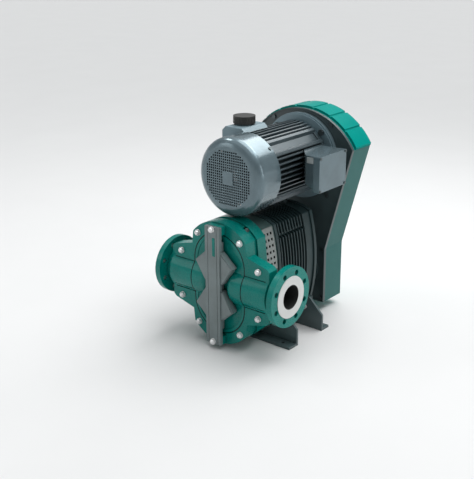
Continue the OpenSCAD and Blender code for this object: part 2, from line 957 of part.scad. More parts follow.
module timing_gear(phase) {
    difference() {
        along_y(gear_y0, gear_y0 + gear_w) polygon(gear_points(phase));
        rod_y(bearing_shaft_r + 1, gear_y0 - 1, gear_y0 + gear_w + 1);
        ring_y(34, 50, gear_y0 - 1, gear_y0 + 6);
        ring_y(34, 50, gear_y0 + gear_w - 6, gear_y0 + gear_w + 1);
    }
}

module lower_gear() {
    color("dimgray") at_lower() timing_gear(0);
}

module upper_gear() {
    color("dimgray") at_upper() rotate([0, 180, 0]) timing_gear(0.5);
}

// A pump shaft from inside its rotor to its rear bearing, then on to its end
module pump_shaft(y1) {
    y0 = -y_chamber + rotor_gap + rotor_recess;
    difference() {
        union() {
            rod_y(shaft_r, y0 + eps, y_chamber + eps);
            rod_y(seal_shaft_r, y_chamber, front_bearing_y);
            rod_y(bearing_shaft_r, front_bearing_y - eps, rear_bearing_y + bearing_w);
            rod_y(bearing_shaft_r + 1 - fit, gear_y0, gear_y0 + gear_w);
            rod_y(bearing_shaft_r + 4, gear_y0 + gear_w, gear_y0 + gear_w + 8);
            rod_y(shaft_r, rear_bearing_y + bearing_w - 1, y1);
            translate([0, 0, shaft_r]) along_y(y0 + 10, y_chamber - 2) square([12, 6.6], center = true);
        }
        rod_y(8 + fit, y0 - 1, y0 + 40);
    }
}

module lower_shaft() {
    color("silver") at_lower() rotate([0, 90, 0]) pump_shaft(pulley_y1 + 8);
}

module upper_shaft() {
    color("silver") at_upper() pump_shaft(rear_bearing_y + bearing_w + 2);
}

module lip_seal() {
    color("black") at_lower() ring_y(shaft_r + fit, 32 - fit / 2, y_guard0 - 14, y_guard0 - 4);
}

// Toothed pulleys and belt
module toothed_rim(teeth, pitch_radius) {
    difference() {
        circle(pitch_radius - belt_line);
        for (i = [0 : teeth - 1]) rotate((i + 0.5) * 360 / teeth)
            translate([pitch_radius - belt_line, 0]) circle(2.5, $fn = 16);
    }
}

module pulley(teeth, pitch_radius, shaft_radius) {
    difference() {
        union() {
            along_y(pulley_y0, pulley_y1) toothed_rim(teeth, pitch_radius);
            rod_y(pitch_radius + 4, pulley_y0 - 2, pulley_y0);
            rod_y(pitch_radius + 4, pulley_y1, pulley_y1 + 2);
        }
        rod_y(shaft_radius + fit, pulley_y0 - 3, pulley_y1 + 3);
        ring_y(shaft_radius + 14, pitch_radius - 12, pulley_y1 - 8, pulley_y1 + 3);
    }
}

module driven_pulley() {
    color("dimgray") at_lower() pulley(driven_teeth, driven_r, shaft_r);
}

module motor_pulley() {
    color("dimgray") at_motor() pulley(motor_teeth, motor_pulley_r, motor_r);
}

module belt_outline(grow) {
    r1 = driven_r - belt_line + grow;
    r2 = motor_pulley_r - belt_line + grow;
    lean = asin((r1 - r2) / belt_c);
    p1 = r1 * [cos(lean), sin(lean)];
    p2 = r2 * [cos(lean), sin(lean)] + [0, belt_c];
    circle(r1);
    translate([0, belt_c]) circle(r2);
    polygon([p1, p2, [-p2[0], p2[1]], [-p1[0], p1[1]]]);
}

module drive_belt() {
    color("black") at_lower() along_y(pulley_y0 + 3, pulley_y0 + 3 + belt_w) difference() {
        belt_outline(belt_t);
        belt_outline(run_gap);
    }
}

// Belt guard outline; grow moves its edge outwards
module guard_outline(grow) {
    top_z = motor_z + guard_top_rise;
    polygon([
        [-guard_low_w - grow, guard_foot_z - grow], [guard_low_w + grow, guard_foot_z - grow],
        [guard_low_w + grow, guard_kink_z], [guard_top_w + grow, top_z],
        [-guard_top_w - grow, top_z], [-guard_low_w - grow, guard_kink_z]
    ]);
    intersection() {
        translate([0, guard_arc_z]) circle(guard_arc_r + grow, $fn = 180);
        translate([-2 * guard_arc_r, top_z - eps]) square(4 * guard_arc_r);
    }
}

// Seven shallow lobes round the top of the guard
module guard_lobes_outline(grow) {
    half = guard_lobes * guard_lobe_a / 2;
    reach = 2 * guard_lobe_r;
    translate([0, guard_arc_z]) difference() {
        intersection() {
            circle(guard_lobe_r + grow, $fn = 180);
            polygon([[0, 0], [-reach * sin(half), reach * cos(half)], [-reach, reach * 2],
                [reach, reach * 2], [reach * sin(half), reach * cos(half)]]);
        }
        for (i = [0 : guard_lobes]) rotate(half - i * guard_lobe_a)
            translate([0, guard_lobe_r + grow + 1]) circle(5, $fn = 24);
    }
}

module guard_plate() {
    color("darkslategray") at_head() difference() {
        union() {
            along_y(y_guard0, y_guard1) guard_outline(0);
            along_y(y_guard0 - guard_rim, y_guard0 + 1) difference() {
                guard_outline(0);
                guard_outline(-guard_rim);
            }
        }
        translate([0, 0, -pitch_r]) rod_y(33, y_guard0 - 1, y_guard1 + 1);
        translate([0, 0, motor_z]) rod_y(motor_spigot_r + fit, y_guard0 - 1, y_guard1 + 1);
        at_motor_bolts() rod_y(6 + fit, y_guard0 - 1, y_guard1 + 1);
        at_guard_screws() rod_y(4 + fit, y_guard0 - 1, y_guard1 + 1);
    }
}

module belt_guard() {
    color("teal") at_head() difference() {
        union() {
            along_y(y_guard1, y_end) guard_outline(0);
            along_y(y_guard1 + 6, y_end) guard_lobes_outline(0);
        }
        along_y(y_guard1 - 1, y_end - guard_wall) guard_outline(-guard_wall);
    }
    color("teal") at_head() at_guard_screws() difference() {
        rod_y(guard_boss_r, y_guard1, y_end - guard_wall + 1);
        rod_y(4 + fit, y_guard1 - 1, y_guard1 + guard_screw_l);
    }
}

module at_guard_screws() {
    for (x = [-1, 1]) {
        translate([x * guard_screw_x, 0, guard_foot_z + guard_screw_in]) children();
        translate([x * guard_screw_x, 0, guard_kink_z - 5]) children();
        translate([x * guard_screw_xz, 0, motor_z + guard_screw_xz]) children();
        translate([x * (guard_screw_xz - 9), 0, motor_z - guard_screw_xz - 10]) children();
    }
}

module guard_screws() {
    color("silver") at_head() at_guard_screws() hex_screw(4, y_guard0, guard_screw_l);
}

// Motor
module at_motor_bolts() {
    translate([0, 0, motor_z]) for (i = [0 : 3]) rotate([0, 45 + 90 * i, 0])
        translate([0, 0, motor_pcd / 2]) children();
}

// Smooth pad on a shoulder of the frame, with a rail along each side
module frame_pad() {
    translate([frame_r - 12, -pad_w / 2]) square([pad_r - frame_r + 12, pad_w]);
    for (s = [-1, 1]) translate([frame_r - 12, s * pad_w / 2 - 2.5]) square([frame_tip_r - frame_r + 12, 5]);
}

module frame_fins() {
    intersection() {
        circle(frame_tip_r);
        union() {
            for (i = [-4.5 : 1 : 4.5]) {
                translate([0, i * motor_fin_pitch]) square([2 * frame_tip_r, motor_fin_t], center = true);
                translate([i * motor_fin_pitch, 0]) square([motor_fin_t, 2 * frame_tip_r], center = true);
            }
            for (a = [45 : 90 : 315]) rotate(a) frame_pad();
        }
    }
}

module motor_frame() {
    color("slategray") at_motor() difference() {
        union() {
            along_y(y_frame0, y_frame1) {
                circle(frame_r);
                frame_fins();
            }
            rod_y(end_ring_r, y_frame1 - end_ring_l, y_frame1);
        }
        rod_y(frame_bore_r, y_frame0 - 1, y_frame1 + 1);
        box_body(1);
        tank_cut();
    }
}

// Room for the tank on the frame's upper left shoulder
module tank_cut() {
    difference() {
        translate([tank_x0 - 20, tank_y0 - run_gap, tank_z0 - run_gap])
            cube([tank_x1 - tank_x0 + 20 + run_gap, tank_y1 - tank_y0 + 2 * run_gap, 80]);
        rod_y(frame_r + 2, tank_y0 - 2, tank_y1 + 2);
    }
}

module fan_end_shield() {
    color("slategray") at_motor() difference() {
        union() {
            rod_y(shield_r, y_frame0 - 16, y_frame0);
            rod_y(frame_bore_r - fit, y_frame0 - eps, y_frame0 + 10);
        }
        rod_y(motor_bearing_r, fan_bearing_y, y_frame0 + 11);
        rod_y(motor_r + 2, y_frame0 - 17, y_frame0);
    }
}

module drive_end_shield() {
    color("slategray") at_motor() difference() {
        union() {
            rod_y(motor_flange_d / 2, y_motor_flange, y_guard0);
            rod_y(motor_flange_d / 2 - motor_flange_rim, y_motor_flange - motor_flange_step, y_guard0);
            rod_y(motor_spigot_r, y_guard0 - 1, y_guard0 + 4);
            translate([0, y_frame1, 0]) turned_y() polygon([
                [0, 0], [shield_r + 3, 0], [shield_r + 3, 6], [shield_r - 8, 14], [0, 14]
            ]);
            rod_y(frame_bore_r - fit, y_frame1 - 10, y_frame1 + eps);
        }
        rod_y(motor_bearing_r, y_frame1 - 11, drive_bearing_y + motor_bearing_w);
        rod_y(motor_r + 2, y_frame1, y_guard0 + 5);
        translate([0, 0, -motor_z]) at_motor_bolts() rod_y(6 + fit, y_frame1 + 1, y_guard0 + 5);
    }
}

module motor_stator() {
    color("dimgray") at_motor() {
        ring_y(rotor_core_r + 0.6, frame_bore_r, y_frame0 + 45, y_frame1 - 50);
        ring_y(rotor_core_r + 8, frame_bore_r - 8, y_frame0 + 28, y_frame0 + 45 + eps);
        ring_y(rotor_core_r + 8, frame_bore_r - 8, y_frame1 - 50 - eps, y_frame1 - 32);
    }
}

module motor_core() {
    color("silver") at_motor() ring_y(motor_r + 3 + fit, rotor_core_r, y_frame0 + 45, y_frame1 - 50);
}

module motor_shaft() {
    color("silver") at_motor() {
        rod_y(motor_r - 2, y_cowl + 34, fan_bearing_y + 1);
        rod_y(motor_r, fan_bearing_y, pulley_y1 + 6);
        rod_y(motor_r + 3, fan_bearing_y + motor_bearing_w, drive_bearing_y);
    }
}

module at_motor_bearings() {
    translate([0, fan_bearing_y, 0]) children();
    translate([0, drive_bearing_y, 0]) children();
}

module motor_bearing_rings() {
    color("silver") at_motor() at_motor_bearings() ring_y(33, motor_bearing_r, 0, motor_bearing_w);
}

module motor_bearing_cores() {
    color("silver") at_motor() at_motor_bearings() ring_y(motor_r, 32, 0, motor_bearing_w);
}

module motor_fan() {
    blades = 7;
    color("dimgray") at_motor() difference() {
        union() {
            rod_y(30, fan_y0, fan_y1);
            rod_y(96, fan_y1 - 4, fan_y1);
            for (i = [0 : blades - 1]) rotate([0, i * 360 / blades, 0])
                translate([26, fan_y0 + 2, -1.5]) cube([67, fan_y1 - fan_y0 - 4, 3]);
        }
        rod_y(motor_r - 2 + fit, fan_y0 - 1, fan_y1 + 1);
    }
}

// Fan cowl: a tube with a domed shoulder and a round grille
function shoulder(inset) = [
    for (a = [0 : 10 : 90]) [
        grille_r + 3 + (shoulder_r - inset) * sin(a),
        shoulder_d - (shoulder_d - inset) * cos(a)
    ]
];

module grille_outline() {
    pitch = 8.5;
    hole = 5.8;
    pad = 21;
    n = floor(grille_r / pitch);
    difference() {
        circle(grille_r + 4);
        for (i = [-n : n]) for (j = [-n : n]) {
            if (norm([i, j]) * pitch < grille_r - 1 && max(abs(i), abs(j)) * pitch > pad + 1) {
                translate([i * pitch, j * pitch]) square(hole, center = true);
            }
        }
    }
}

module fan_cowl() {
    color("slategray") at_motor() {
        difference() {
            translate([0, y_cowl, 0]) turned_y() polygon(concat(
                [[grille_r + 2, 0]], shoulder(0), [[cowl_r, cowl_l], [cowl_r - cowl_wall, cowl_l]],
                [for (i = [len(shoulder(0)) - 1 : -1 : 0]) shoulder(cowl_wall)[i]],
                [[grille_r + 2, cowl_wall]]
            ));
            at_cowl_screws() rod_z_hole(3 + fit, 20, 0);
        }
        along_y(y_cowl, y_cowl + cowl_wall) grille_outline();
        along_y(y_cowl - 2, y_cowl + eps) square(42, center = true);
        at_cowl_screws() translate([0, 0, shield_r + 6.3 - cowl_r]) difference() {
            cylinder(r = 7, h = cowl_r - cowl_wall - shield_r + 0.7);
            translate([0, 0, -1]) cylinder(r = 3 + fit, h = 40);
        }
    }
}

module at_cowl_screws() {
    for (a = [45 : 90 : 315]) rotate([0, a, 0]) translate([0, y_frame0 - 9, cowl_r - 6]) children();
}

module cowl_screws() {
    color("silver") at_motor() at_cowl_screws() {
        cylinder(r = 3, h = 6);
        translate([0, 0, 6]) cylinder(r = 6, h = 3);
    }
}

module motor_bolts() {
    color("silver") at_head() at_motor_bolts() {
        translate([0, y_motor_flange - motor_flange_step, 0])
            hex_screw(6, 0, y_guard1 - y_motor_flange + motor_flange_step + 12);
        along_y(y_guard1, y_guard1 + 10) circle(11, $fn = 6);
    }
}

// Body of the terminal box: narrower towards the frame at its front and below
module box_body(grow) {
    intersection() {
        translate([0, 0, box_z0 - grow]) linear_extrude(height = box_z1 - box_z0 + 2 * grow) polygon([
            [frame_r, box_y0 + box_neck_y - grow], [box_neck_x, box_y0 + 5 - grow],
            [box_x1, box_y0 + 5 - grow], [box_x1, box_y1 + grow], [frame_r, box_y1 + grow]
        ]);
        along_y(box_y0 - 1, box_y1 + 2) polygon([
            [frame_r, box_low_z - grow], [box_neck_x, box_low_z - grow], [box_x1, box_z0 + 5 - grow],
            [box_x1, box_z1 + grow], [frame_r, box_z1 + grow]
        ]);
    }
}

module terminal_box() {
    color("slategray") at_motor() difference() {
        box_body(0);
        translate([box_neck_x - 6, box_y0 + 11, box_low_z + 5])
            cube([box_x1, box_y1 - box_y0 - 16, box_z1 - box_low_z - 10]);
        translate([frame_r + 16, box_y0 + box_neck_y + 2, box_low_z + 5])
            cube([box_x1, box_y1 - box_y0 - box_neck_y - 7, box_z1 - box_low_z - 10]);
    }
}

module terminal_lid() {
    color("slategray") at_motor() translate([box_x1, box_y0 - 1, box_z0 - 1]) difference() {
        cube([box_x2 - box_x1, box_y1 - box_y0 + 2, box_z1 - box_z0 + 2]);
        translate([-1, 7, 7]) cube([box_x2 - box_x1 - 5, box_y1 - box_y0 - 12, box_z1 - box_z0 - 12]);
        at_lid_screws() rod_x(2.5 + fit, -1, box_x2 - box_x1 + 1);
    }
}

module at_lid_screws() {
    for (y = [5, box_y1 - box_y0 - 3]) for (z = [5, box_z1 - box_z0 - 3]) translate([0, y, z]) children();
}

module lid_screws() {
    color("silver") at_motor() translate([box_x1, box_y0 - 1, box_z0 - 1]) at_lid_screws() {
        rod_x(2.5, 0.1, box_x2 - box_x1);
        rod_x(4.5, box_x2 - box_x1, box_x2 - box_x1 + 2.5);
    }
}

// Fluid tank on the motor's shoulder, with a turning cap
module fluid_tank() {
    color("slategray") at_motor() difference() {
        union() {
            translate([0, tank_y1, 0]) rotate([90, 0, 0]) linear_extrude(height = tank_y1 - tank_y0) polygon([
                [tank_x0, tank_z0], [tank_x1, tank_z0], [tank_x1, tank_z1 - 14],
                [tank_x1 - 14, tank_z1], [tank_x0 + 14, tank_z1], [tank_x0, tank_z1 - 14]
            ]);
            translate([cap_x, cap_y, tank_z1 - 1]) cylinder(r = 28, h = 5);
        }
        translate([cap_x, cap_y, tank_z1 - 20]) cylinder(r = 20, h = 40);
        rod_y(frame_r + 2, tank_y0 - 1, tank_y1 + 1);
    }
}

module tank_cap() {
    color("black") at_motor() translate([cap_x, cap_y, tank_z1 + 4 + run_gap]) {
        difference() {
            cylinder(r = cap_r, h = cap_h);
            for (i = [0 : 23]) rotate(i * 15) translate([cap_r + 1, 0, -1]) cylinder(r = 2.6, h = cap_h - 4);
        }
        translate([0, 0, -14]) cylinder(r = 20 - run_gap, h = 15);
    }
}

// Feet: an upright plate with a saddle, and a flat flange with a hole at each end
module foot_upright() {
    polygon([
        [-foot_half, -axis_z], [foot_half, -axis_z], [foot_half, foot_edge - axis_z],
        [lug_x1, lug_z1], [-lug_x1, lug_z1], [-foot_half, foot_edge - axis_z]
    ]);
}

module foot_flange(y0, y1) {
    translate([-foot_half, y0, -axis_z]) difference() {
        cube([foot_w, y1 - y0, foot_t]);
        for (x = [-1, 1]) translate([foot_half + x * foot_hole_x, (y1 - y0) / 2, -1])
            cylinder(r = foot_hole_d / 2, h = foot_t + 2);
    }
}

module front_foot() {
    color("darkslategray") at_head() {
        difference() {
            along_y(foot_y0, y_lantern) difference() {
                foot_upright();
                lantern_outline(-1);
            }
            at_foot_bolts() rod_y(screw_r + fit, foot_y0 - 1, y_lantern + 1);
        }
        foot_flange(foot_y0 - foot_front_l, foot_y0 + 1);
    }
}

module rear_foot() {
    color("darkslategray") at_head() {
        difference() {
            along_y(foot_y1, foot_y1 + foot_t) difference() {
                foot_upright();
                gear_outline(17);
            }
            at_foot_bolts() rod_y(screw_r + fit, foot_y1 - 1, foot_y1 + foot_t + 1);
        }
        foot_flange(foot_y1 + foot_t - 1, foot_y1 + foot_t + foot_rear_l);
    }
}

module foot_bolts() {
    color("silver") at_head() {
        at_foot_bolts() hex_screw(screw_r, foot_y0, foot_t + gear_flange_t - 1);
        at_foot_bolts() hex_screw(screw_r, foot_y1, foot_t + lug_t - 1);
    }
}

pump_housing();
front_cover();
cover_seal();
clamp_bridge();
clamp_studs();
head_bolts();
ear_bolts();
front_wear_plate();
rear_wear_plate();
rear_plate();
plate_screws();
lantern();
lantern_guards();
lower_rotor();
upper_rotor();
lower_rotor_screw();
upper_rotor_screw();
seal_seats();
lower_seal_ring();
upper_seal_ring();
gear_housing();
gear_cover();
gear_cover_screws();
fill_plug();
drain_plug();
bearing_outer_rings();
bearing_rollers();
lower_bearing_rings();
upper_bearing_rings();
lower_shaft();
upper_shaft();
lower_gear();
upper_gear();
lip_seal();
driven_pulley();
drive_belt();
motor_pulley();
guard_plate();
belt_guard();
guard_screws();
motor_frame();
fan_end_shield();
drive_end_shield();
motor_stator();
motor_core();
motor_shaft();
motor_bearing_rings();
motor_bearing_cores();
motor_fan();
fan_cowl();
cowl_screws();
motor_bolts();
terminal_box();
terminal_lid();
lid_screws();
fluid_tank();
tank_cap();
front_foot();
rear_foot();
foot_bolts();
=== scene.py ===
"""Looks of a rotary lobe pump with a belt drive and a motor on top.

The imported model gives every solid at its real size. This script gives each one its finish, adds two small
bare plates, and sets up the floor, the light and the camera. All lengths are in metres, in the frame of the
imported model.
"""

import json
import math

import bmesh
import bpy
from mathutils import Matrix, Vector


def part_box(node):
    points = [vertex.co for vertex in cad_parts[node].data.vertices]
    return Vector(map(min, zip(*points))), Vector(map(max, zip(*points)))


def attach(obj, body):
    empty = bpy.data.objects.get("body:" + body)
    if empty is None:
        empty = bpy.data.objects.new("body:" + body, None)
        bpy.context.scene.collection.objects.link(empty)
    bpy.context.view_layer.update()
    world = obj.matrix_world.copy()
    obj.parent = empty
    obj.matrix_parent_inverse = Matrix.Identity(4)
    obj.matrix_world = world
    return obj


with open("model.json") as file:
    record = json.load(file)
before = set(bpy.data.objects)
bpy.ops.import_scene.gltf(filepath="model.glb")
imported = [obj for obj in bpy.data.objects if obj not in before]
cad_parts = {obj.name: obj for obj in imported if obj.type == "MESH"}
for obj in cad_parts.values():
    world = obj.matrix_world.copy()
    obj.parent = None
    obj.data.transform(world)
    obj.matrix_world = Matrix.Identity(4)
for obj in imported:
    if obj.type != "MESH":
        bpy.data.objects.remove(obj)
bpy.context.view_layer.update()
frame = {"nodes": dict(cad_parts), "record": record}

MM = 0.001

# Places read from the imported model
PORT_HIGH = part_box("pump_housing")[1]
HEAD_Y = 0.5 * (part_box("front_wear_plate")[0].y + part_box("rear_wear_plate")[1].y)
COVER_LOW, COVER_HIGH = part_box("front_cover")
FLOW_Z = 0.5 * (COVER_LOW.z + COVER_HIGH.z)
COWL_LOW, COWL_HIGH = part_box("fan_cowl")
MOTOR_Z = 0.5 * (COWL_LOW.z + COWL_HIGH.z)
BOX_LOW, BOX_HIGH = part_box("terminal_box")
BAR_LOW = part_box("clamp_bridge")[0]

# Ports: bore, height of the raised face, pitch of the turned rings on it
BORE_R = 40 * MM
RAISED_T = 2 * MM
RING_PITCH = 0.8 * MM

# Joint between pump housing and front cover: half circles above and below, straight sides between them
SEAM_R = COVER_HIGH.x
SEAM_RISE = COVER_HIGH.z - FLOW_Z - SEAM_R
SEAM_OUT = 0.8 * MM
SEAM_HALF_WIDTH = 2.2 * MM
SEAM_BLUR = 0.6 * MM

# Height at which the belt guard's rounded top goes over into its flat sides
GUARD_CORNER_Z = MOTOR_Z + 44 * MM
GUARD_CORNER_BLUR = 0.5 * MM

# Bare plates: thickness, and points on each of their corners
PLATE_T = 0.8 * MM
CORNER_STEPS = 5

# Finishes: noise patterns per metre, widths of the softened edges, and how far the painted shade in hollows
# and creases reaches
CLOUD_SCALE = 14.0
CAST_SCALE = 260.0
SKIN_SCALE = 900.0
POLISH_SCALE = 60.0
SCRATCH_SCALE = (40.0, 900.0, 900.0)
MOULD_CLOUD_SCALE = 30.0
MOULD_GRAIN_SCALE = 1400.0
BORE_GRAIN_SCALE = 300.0
SIDE_CLOUD_SCALE = 9.0
PAINT_EDGE = 1.2 * MM
METAL_EDGE = 0.5 * MM
MOULD_EDGE = 0.8 * MM
HOLLOW_SHADE_REACH = 20 * MM
CREASE_SHADE_REACH = 5 * MM
SHADER_SAMPLES = 6


# Node helpers

def add(tree, kind, values=None, **settings):
    """One shader node; values sets or links its inputs by name or number."""
    node = tree.nodes.new(kind)
    for key, value in settings.items():
        setattr(node, key, value)
    fill(tree, node, values or {})
    return node


def fill(tree, node, values):
    """Links a node's inputs to the sockets of other nodes, or sets them to constants, by name or number."""
    for key, value in values.items():
        if isinstance(value, bpy.types.NodeSocket):
            tree.links.new(value, node.inputs[key])
        else:
            node.inputs[key].default_value = value


def math_node(tree, operation, a, b=0.0):
    """A Math node's result, from sockets or numbers."""
    return add(tree, "ShaderNodeMath", {0: a, 1: b}, operation=operation).outputs[0]


def spread(tree, value, middle, width):
    """A noise value from 0 to 1, spread over a width round a middle."""
    values = {0: value, 1: width, 2: middle - width / 2}
    return add(tree, "ShaderNodeMath", values, operation="MULTIPLY_ADD").outputs[0]


def length(tree, a, b):
    """The length of a vector in a plane, from its two parts."""
    squares = [math_node(tree, "POWER", part, 2.0) for part in (a, b)]
    return math_node(tree, "SQRT", math_node(tree, "ADD", *squares))


def split(tree, vector):
    """The X, Y and Z of a vector."""
    return add(tree, "ShaderNodeSeparateXYZ", {0: vector}).outputs


def mix_colour(tree, factor, a, b):
    """A colour mixed from a and b."""
    return add(tree, "ShaderNodeMix", {"Factor": factor, 6: a, 7: b}, data_type="RGBA").outputs[2]


def step(tree, value, low, high):
    """Smooth between 0 at low and 1 at high, whichever of the two is the larger, and flat outside them."""
    values = {"Value": value, "From Min": low, "From Max": high}
    return add(tree, "ShaderNodeMapRange", values, interpolation_type="SMOOTHSTEP").outputs[0]


def rgba(colour):
    """An opaque colour."""
    return (*colour, 1.0)


def srgb(*display):
    """A colour given as 8-bit display values, as the linear values that the shaders take."""
    parts = [value / 255 for value in display]
    return tuple(c / 12.92 if c <= 0.04045 else ((c + 0.055) / 1.055) ** 2.4 for c in parts)


def shade(colour, factor):
    """A colour made lighter or darker."""
    return tuple(min(1.0, c * factor) for c in colour)


def new_material(name):
    """An empty material with a Principled shader, and its tree."""
    material = bpy.data.materials.new(name)
    material.use_nodes = True
    tree = material.node_tree
    tree.nodes.clear()
    shader = add(tree, "ShaderNodeBsdfPrincipled")
    add(tree, "ShaderNodeOutputMaterial", {"Surface": shader.outputs[0]})
    return material, tree, shader


def node_of(material, kind):
    """The first node of a kind in a material."""
    return next(node for node in material.node_tree.nodes if node.type == kind)


def object_place(tree):
    """The place of the shaded point on its piece, in metres."""
    return add(tree, "ShaderNodeTexCoord").outputs["Object"]


def noise(tree, place, scale, detail=3.0, rough=0.55):
    """A cloudy pattern from 0 to 1."""
    values = {"Vector": place, "Scale": scale, "Detail": detail, "Roughness": rough}
    return add(tree, "ShaderNodeTexNoise", values).outputs[0]


def openness(tree, reach):
    """1 where nothing stands near, lower in hollows within a reach."""
    return add(tree, "ShaderNodeAmbientOcclusion", {"Distance": reach}, samples=SHADER_SAMPLES).outputs["AO"]


def rounded_normal(tree, radius):
    """A normal that rounds sharp edges off, and a mask that is 1 along them."""
    bevel = add(tree, "ShaderNodeBevel", {"Radius": radius}, samples=SHADER_SAMPLES)
    flat = add(tree, "ShaderNodeNewGeometry").outputs["Normal"]
    dot = add(tree, "ShaderNodeVectorMath", {0: bevel.outputs[0], 1: flat}, operation="DOT_PRODUCT")
    edge = step(tree, math_node(tree, "SUBTRACT", 1.0, dot.outputs["Value"]), 0.01, 0.12)
    return bevel.outputs[0], edge


def bumped(tree, height, strength, distance, normal=None):
    """A normal tilted by a height pattern."""
    values = {"Height": height, "Strength": strength, "Distance": distance}
    if normal is not None:
        values["Normal"] = normal
    return add(tree, "ShaderNodeBump", values).outputs[0]


def laid_over(tree, tone, mask, amount, colour):
    """A tone with a colour laid over it, by a mask times an amount."""
    return mix_colour(tree, math_node(tree, "MULTIPLY", mask, amount), tone, rgba(colour))


# Colours

GREEN = srgb(0, 122, 113)
GREEN_GUARD = srgb(0, 138, 129)
# Painted shade and painted reflection on the belt guard's sideways faces
GUARD_SIDE_SHADE = srgb(68, 112, 109)
MOTOR_BLUE = srgb(100, 118, 125)
CLAMP_GREY = srgb(114, 126, 127)
HOUSING_DARK = srgb(44, 62, 64)
PLATE_DARK = srgb(60, 74, 76)
FOOT_GREY = srgb(70, 86, 88)
LANTERN_GREY = srgb(64, 86, 84)
SHEET_GREY = srgb(150, 156, 154)
LABEL_GREY = srgb(206, 212, 212)
BRIGHT_STEEL = (0.86, 0.86, 0.86)
WORN_STEEL = (0.6, 0.6, 0.6)
DARK_STEEL = srgb(96, 104, 106)
IRON = (0.32, 0.32, 0.33)
BARE_FACE = (0.66, 0.67, 0.66)
# Painted shade inside the port bores
BORE_PAINTED_SHADE = (0.012, 0.013, 0.013)
CAP_BLACK = srgb(42, 42, 40)
FAN_BLACK = srgb(40, 44, 46)
SEAL_BLACK = srgb(24, 24, 24)
BELT_BLACK = srgb(28, 28, 28)
ROTOR_BLACK = srgb(34, 34, 34)


# Kinds of finish

def paint(name, colour, rough=0.42, grain=0.12, peel=0.08, wear=0.25, coat=0.15, coat_rough=0.2, gloss=0.35,
          flake=0.0, crease_painted_shade=0.85, hollow_painted_shade=0.55, cloudy=0.09):
    """Sprayed paint: casting grain under it, orange peel in it, thin at the edges, painted shade in hollows
    and creases.
    """
    material, tree, shader = new_material(name)
    place = object_place(tree)
    cloud = noise(tree, place, CLOUD_SCALE, detail=5.0)
    cast = noise(tree, place, CAST_SCALE, detail=4.0, rough=0.6)
    skin = noise(tree, place, SKIN_SCALE, detail=2.0)
    normal, edge = rounded_normal(tree, PAINT_EDGE)
    # Painted shade: masks that are 1 in hollows and creases, where other surfaces stand near
    hollow_shade_mask = step(tree, openness(tree, HOLLOW_SHADE_REACH), 0.8, 0.15)
    crease_shade_mask = step(tree, openness(tree, CREASE_SHADE_REACH), 0.7, 0.15)
    tone = mix_colour(tree, step(tree, cloud, 0.3, 0.7), rgba(shade(colour, 1 - cloudy)),
                      rgba(shade(colour, 1 + cloudy)))
    tone = laid_over(tree, tone, edge, wear, shade(colour, 1.9))
    # Painted shade laid into the colour: darker in hollows, near black in creases
    tone = laid_over(tree, tone, hollow_shade_mask, hollow_painted_shade, shade(colour, 0.3))
    tone = laid_over(tree, tone, crease_shade_mask, crease_painted_shade, shade(colour, 0.06))
    cast_normal = bumped(tree, cast, grain, 0.5 * MM, normal)
    fill(tree, shader, {
        "Base Color": tone,
        "Roughness": spread(tree, cast, rough, 0.16),
        "Specular IOR Level": gloss,
        "Coat Weight": coat,
        "Coat Roughness": coat_rough,
        "Metallic": flake,
        "Normal": bumped(tree, skin, peel, 0.15 * MM, cast_normal),
    })
    return material


def metal(name, colour, rough=0.3, brushed=0.0, shine=1.0):
    """Bare metal with fine scratches and uneven polish."""
    material, tree, shader = new_material(name)
    place = object_place(tree)
    stretched = add(tree, "ShaderNodeMapping", {"Vector": place, "Scale": SCRATCH_SCALE}).outputs[0]
    scratches = noise(tree, stretched, 1.0)
    cloud = noise(tree, place, POLISH_SCALE, detail=4.0)
    normal, edge = rounded_normal(tree, METAL_EDGE)
    tone = mix_colour(tree, step(tree, cloud, 0.3, 0.7), rgba(shade(colour, 0.85)), rgba(colour))
    fill(tree, shader, {
        "Base Color": laid_over(tree, tone, edge, 0.4, shade(colour, 1.3)),
        "Metallic": shine,
        "Roughness": spread(tree, cloud, rough, 0.2),
        "Normal": bumped(tree, scratches, 0.05 + brushed, 0.1 * MM, normal),
    })
    return material


def moulded(name, colour, rough=0.55):
    """Moulded plastic or rubber with a fine matt grain."""
    material, tree, shader = new_material(name)
    place = object_place(tree)
    fine = noise(tree, place, MOULD_GRAIN_SCALE, detail=2.0)
    cloud = noise(tree, place, MOULD_CLOUD_SCALE)
    normal, edge = rounded_normal(tree, MOULD_EDGE)
    tone = mix_colour(tree, cloud, rgba(shade(colour, 0.8)), rgba(shade(colour, 1.3)))
    fill(tree, shader, {
        "Base Color": laid_over(tree, tone, edge, 0.35, shade(colour, 2.6)),
        "Roughness": rough,
        "Normal": bumped(tree, fine, 0.15, 0.2 * MM, normal),
    })
    return material


# Additions to a finish

def overpaint(material, mask, colour):
    """Lays a colour over a finish where the mask is 1."""
    tree = material.node_tree
    shader = node_of(material, "BSDF_PRINCIPLED")
    painted = shader.inputs["Base Color"].links[0].from_socket
    fill(tree, shader, {"Base Color": mix_colour(tree, mask, painted, colour)})
    return material


def dark_seam(material):
    """A dark line along the joint between the pump housing and its front cover."""
    tree = material.node_tree
    parts = split(tree, object_place(tree))
    rise = math_node(tree, "ABSOLUTE", math_node(tree, "SUBTRACT", parts[2], FLOW_Z))
    beyond = math_node(tree, "MAXIMUM", math_node(tree, "SUBTRACT", rise, SEAM_RISE), 0.0)
    distance = length(tree, parts[0], beyond)
    off_line = math_node(tree, "ABSOLUTE", math_node(tree, "SUBTRACT", distance, SEAM_R + SEAM_OUT))
    on_line = step(tree, off_line, SEAM_HALF_WIDTH, SEAM_HALF_WIDTH - SEAM_BLUR)
    return overpaint(material, math_node(tree, "MULTIPLY", on_line, 0.9), rgba(shade(GREEN, 0.05)))


